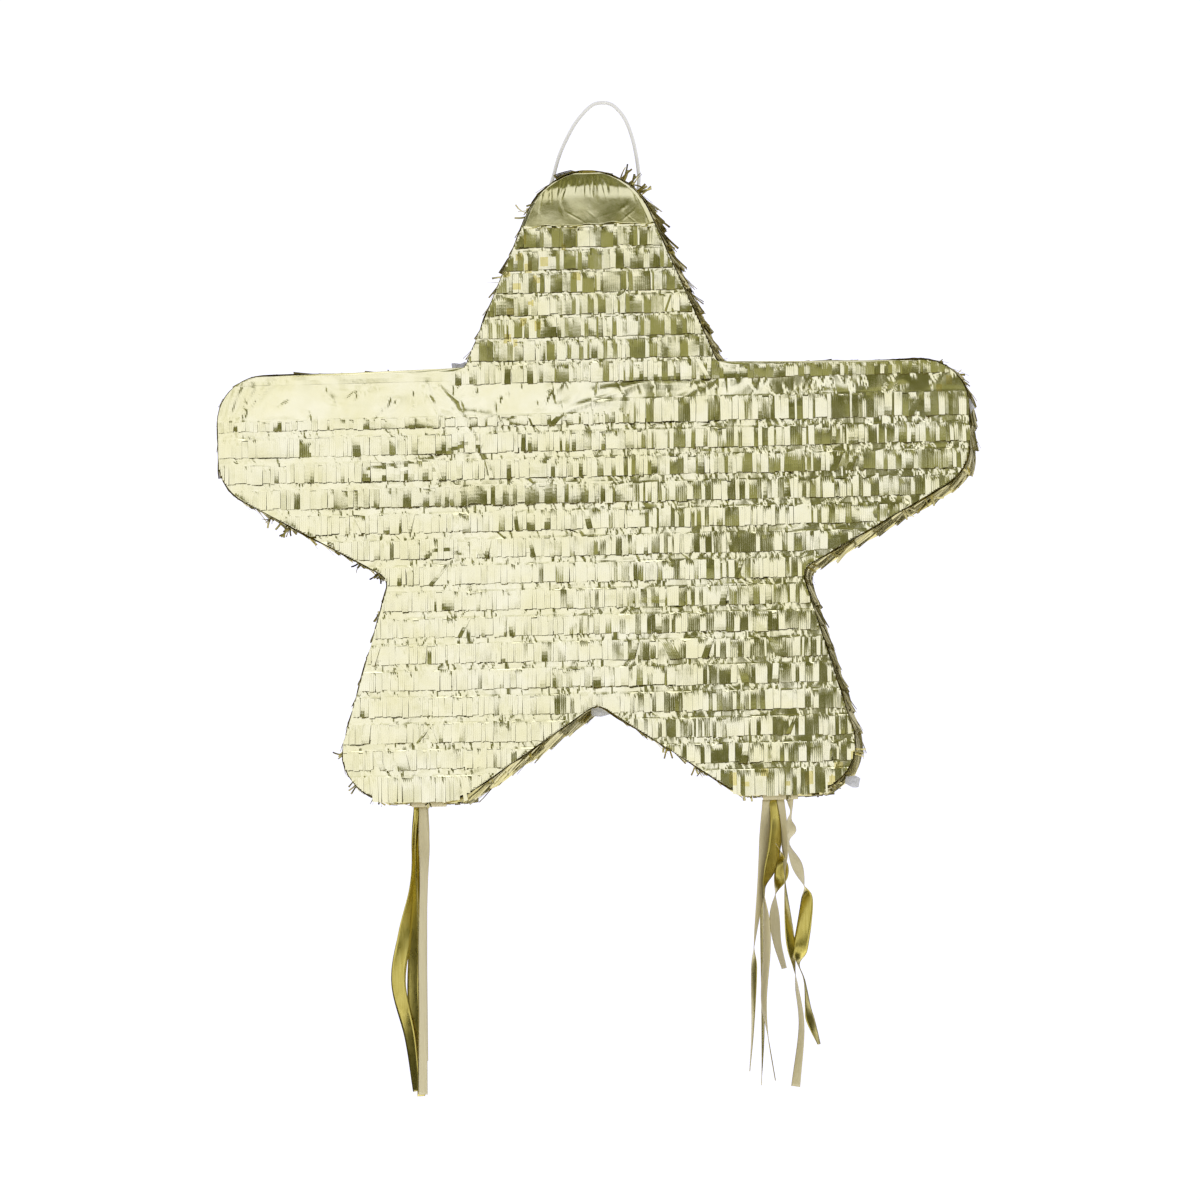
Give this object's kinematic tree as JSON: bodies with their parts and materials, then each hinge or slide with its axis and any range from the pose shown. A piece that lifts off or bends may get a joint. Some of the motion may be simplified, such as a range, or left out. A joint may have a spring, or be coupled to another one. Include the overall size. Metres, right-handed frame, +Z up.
{
  "type": "pinata",
  "caption": "Hollow star pinata in pale gold foil fringe, hung on a cord loop, with a fill flap in its back and ribbon-pulled trap doors in its feet.",
  "frame": {"origin": "inside top of the cord loop, where a hook holds it", "axes": "+X to the right of the star seen from its front, -Y towards the front, +Z up"},
  "size_m": [0.472, 0.0812, 0.6255],
  "materials": {
    "cardboard": "plain brown board, matt",
    "foil": "metallised film, pale gold, mirror-like and creased",
    "ribbon": "narrow satin ribbon, matt gold with one brighter face",
    "cord": "twisted off-white cord"
  },
  "bodies": {
    "loop": {"hanging_cord": "cord"},
    "star": {"front_panel": "cardboard", "back_panel": "cardboard", "cap_stiffener": "cardboard", "top_arm_wall": "cardboard", "right_arm_wall": "cardboard", "right_leg_wall": "cardboard", "left_leg_wall": "cardboard", "left_arm_wall": "cardboard", "cord_knots": "cord", "tip_foil": "foil", "front_fringe_01": "foil", "front_fringe_02": "foil", "front_fringe_03": "foil", "front_fringe_04": "foil", "front_fringe_05": "foil", "front_fringe_06": "foil", "front_fringe_07": "foil", "front_fringe_08": "foil", "front_fringe_09": "foil", "front_fringe_10": "foil", "front_fringe_11": "foil", "front_fringe_12": "foil", "front_fringe_13": "foil", "front_fringe_14": "foil", "front_fringe_15": "foil", "front_fringe_16": "foil", "front_fringe_17": "foil", "front_fringe_18": "foil", "front_fringe_19": "foil", "front_fringe_20": "foil", "front_fringe_21": "foil", "front_fringe_22": "foil", "back_fringe_upper": "foil", "back_fringe_lower": "foil", "top_arm_fringe": "foil", "right_arm_fringe": "foil", "right_leg_fringe": "foil", "left_leg_fringe": "foil", "left_arm_fringe": "foil"},
    "flap": {"fill_flap": "cardboard", "flap_fringe": "foil"},
    "left_door": {"left_trap_door": "cardboard", "left_door_fringe": "foil"},
    "right_door": {"right_trap_door": "cardboard", "right_door_fringe": "foil"},
    "left_bunch": {"left_ribbon_tie": "ribbon", "left_ribbon_1": "ribbon", "left_ribbon_2": "ribbon", "left_ribbon_3": "ribbon", "left_ribbon_4": "ribbon", "left_ribbon_5": "ribbon"},
    "right_bunch": {"right_ribbon_tie": "ribbon", "right_ribbon_1": "ribbon", "right_ribbon_2": "ribbon", "right_ribbon_3": "ribbon", "right_ribbon_4": "ribbon", "right_ribbon_5": "ribbon", "right_ribbon_6": "ribbon"}
  },
  "joints": [
    {"name": "star_swing", "type": "hinge", "parent": "loop", "child": "star", "pos_m": [0, 0, -0.0609], "axis": [1, 0, 0], "range_deg": [-35, 35]},
    {"name": "fill_flap_hinge", "type": "hinge", "parent": "star", "child": "flap", "pos_m": [0, 0.037, -0.225], "axis": [1, 0, 0], "range_deg": [0, 95]},
    {"name": "left_door_hinge", "type": "hinge", "parent": "star", "child": "left_door", "pos_m": [-0.1135, 0.027, -0.434], "axis": [1, 0, 0], "range_deg": [0, 85]},
    {"name": "right_door_hinge", "type": "hinge", "parent": "star", "child": "right_door", "pos_m": [0.1135, 0.027, -0.434], "axis": [1, 0, 0], "range_deg": [0, 85]},
    {"name": "left_ribbon_hang", "type": "hinge", "parent": "left_door", "child": "left_bunch", "pos_m": [-0.111, 0, -0.438], "axis": [1, 0, 0], "range_deg": [-85, 0]},
    {"name": "right_ribbon_hang", "type": "hinge", "parent": "right_door", "child": "right_bunch", "pos_m": [0.111, 0, -0.438], "axis": [1, 0, 0], "range_deg": [-85, 0]}
  ],
  "couplings": [
    {"joint": "left_ribbon_hang", "follows": "left_door_hinge", "ratio": -1},
    {"joint": "right_ribbon_hang", "follows": "right_door_hinge", "ratio": -1}
  ]
}
